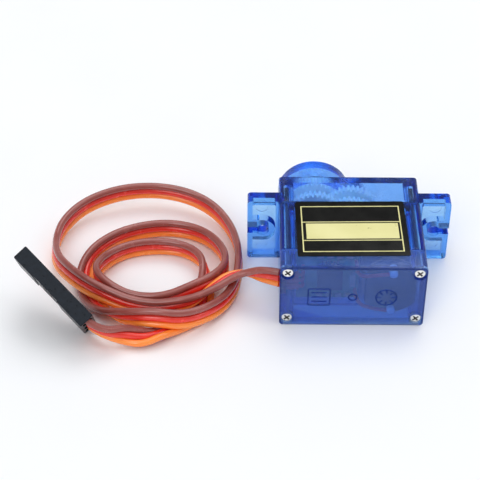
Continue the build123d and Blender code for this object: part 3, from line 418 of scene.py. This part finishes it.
def plate(name, boxes, material):
    """Thin raised print made of boxes, each (centre x, centre y, width, length) in the label's
    turned axes."""
    turn = math.radians(LABEL_TURN)
    vertices = []
    faces = []
    for x, y, width, length in boxes:
        first = len(vertices)
        for z in (0, PRINT_RISE):
            for sx, sy in ((-1, -1), (1, -1), (1, 1), (-1, 1)):
                px = x + sx * width / 2
                py = y + sy * length / 2
                vertices.append((
                    label_mid.x + (px * math.cos(turn) - py * math.sin(turn)) * MM,
                    label_mid.y + (px * math.sin(turn) + py * math.cos(turn)) * MM,
                    label_high.z + z * MM,
                ))
        faces.append([first + i for i in (3, 2, 1, 0)])
        faces.append([first + i for i in (4, 5, 6, 7)])
        for i in range(4):
            j = (i + 1) % 4
            faces.append([first + i, first + j, first + 4 + j, first + 4 + i])
    mesh = bpy.data.meshes.new(name)
    mesh.from_pydata(vertices, [], faces)
    mesh.materials.append(material)
    obj = bpy.data.objects.new(name, mesh)
    scene.collection.objects.link(obj)
    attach(obj, "case")


edge_x = (FRAME_WIDTH - LINE) / 2
edge_y = (FRAME_LENGTH - LINE) / 2
frame_boxes = [(0, FRAME_AT + side * edge_y, FRAME_WIDTH, LINE) for side in (1, -1)]
frame_boxes += [(side * edge_x, FRAME_AT, LINE, FRAME_LENGTH - 2 * LINE) for side in (1, -1)]
frame_boxes += [(0, y, FRAME_WIDTH - 2 * LINE, LINE) for y in RULES_AT]
plate("label_frame_print", frame_boxes, gold)
plate("label_bar_print", [(*BAR_AT, BAR_WIDTH, BAR_LENGTH)], gold)

# ---------------------------------------------------------------- floor and light

FLOOR_HALF = 12
floor_mesh = bpy.data.meshes.new("floor")
floor_mesh.from_pydata([
    (-FLOOR_HALF, -FLOOR_HALF, 0), (FLOOR_HALF, -FLOOR_HALF, 0),
    (FLOOR_HALF, FLOOR_HALF, 0), (-FLOOR_HALF, FLOOR_HALF, 0),
], [], [(0, 1, 2, 3)])
floor = bpy.data.objects.new("floor", floor_mesh)
paper = solid("paper", (0.91, 0.922, 0.94), (0.925, 0.935, 0.95), 0.6, scale=40, bump=0.0)
floor_mesh.materials.append(paper)
scene.collection.objects.link(floor)


def sun(name, azimuth, elevation, angle, power, colour):
    """Soft distant lamp. Azimuth 0 stands on the +Y side and 90 on the +X side."""
    data = bpy.data.lights.new(name, "SUN")
    data.angle = math.radians(angle)
    data.energy = power
    data.color = colour
    lamp = bpy.data.objects.new(name, data)
    a = math.radians(azimuth)
    e = math.radians(elevation)
    towards = Vector((math.sin(a) * math.cos(e), math.cos(a) * math.cos(e), math.sin(e)))
    lamp.rotation_euler = towards.to_track_quat("Z", "Y").to_euler()
    scene.collection.objects.link(lamp)


sun("back_key", 15, 58, 35, 0.55, (1, 1, 1))
sun("front_fill", -150, 40, 30, 0.75, (0.98, 0.99, 1))
sun("right_fill", 100, 45, 20, 0.2, (0.98, 0.99, 1))

# Brightness of the studio by the sine of the height above the horizon. The first level also
# fills everything below the horizon.
SKY_LEVELS = [(0.0, 0.9), (0.4, 0.7), (0.6, 0.28), (0.74, 0.3), (0.88, 1.5)]
OVERHEAD = (1.9, 1.92, 1.95)
SKY_TINT = Vector((1, 1.01, 1.03))
SKY_STRENGTH = 0.85
LIGHT_BOUNCES = 24

world = bpy.data.worlds.new("studio")
world.use_nodes = True
sky = world.node_tree
background = sky.nodes["Background"]
coordinates = sky.nodes.new("ShaderNodeTexCoord")
split = sky.nodes.new("ShaderNodeSeparateXYZ")
sky.links.new(coordinates.outputs["Generated"], split.inputs["Vector"])
shade = sky.nodes.new("ShaderNodeValToRGB")
stops = shade.color_ramp.elements
for height, level in SKY_LEVELS:
    stop = stops[0] if height == 0 else stops.new(height)
    stop.color = (*(level * SKY_TINT), 1)
stops[-1].color = (*OVERHEAD, 1)
sky.links.new(split.outputs["Z"], shade.inputs["Fac"])
sky.links.new(shade.outputs["Color"], background.inputs["Color"])
background.inputs["Strength"].default_value = SKY_STRENGTH
scene.world = world

scene.view_settings.view_transform = "Standard"
scene.cycles.use_denoising = True
scene.cycles.max_bounces = LIGHT_BOUNCES
scene.cycles.transmission_bounces = LIGHT_BOUNCES
scene.cycles.transparent_max_bounces = 2 * LIGHT_BOUNCES
scene.cycles.caustics_reflective = False
scene.cycles.caustics_refractive = True
scene.cycles.sample_clamp_indirect = 6
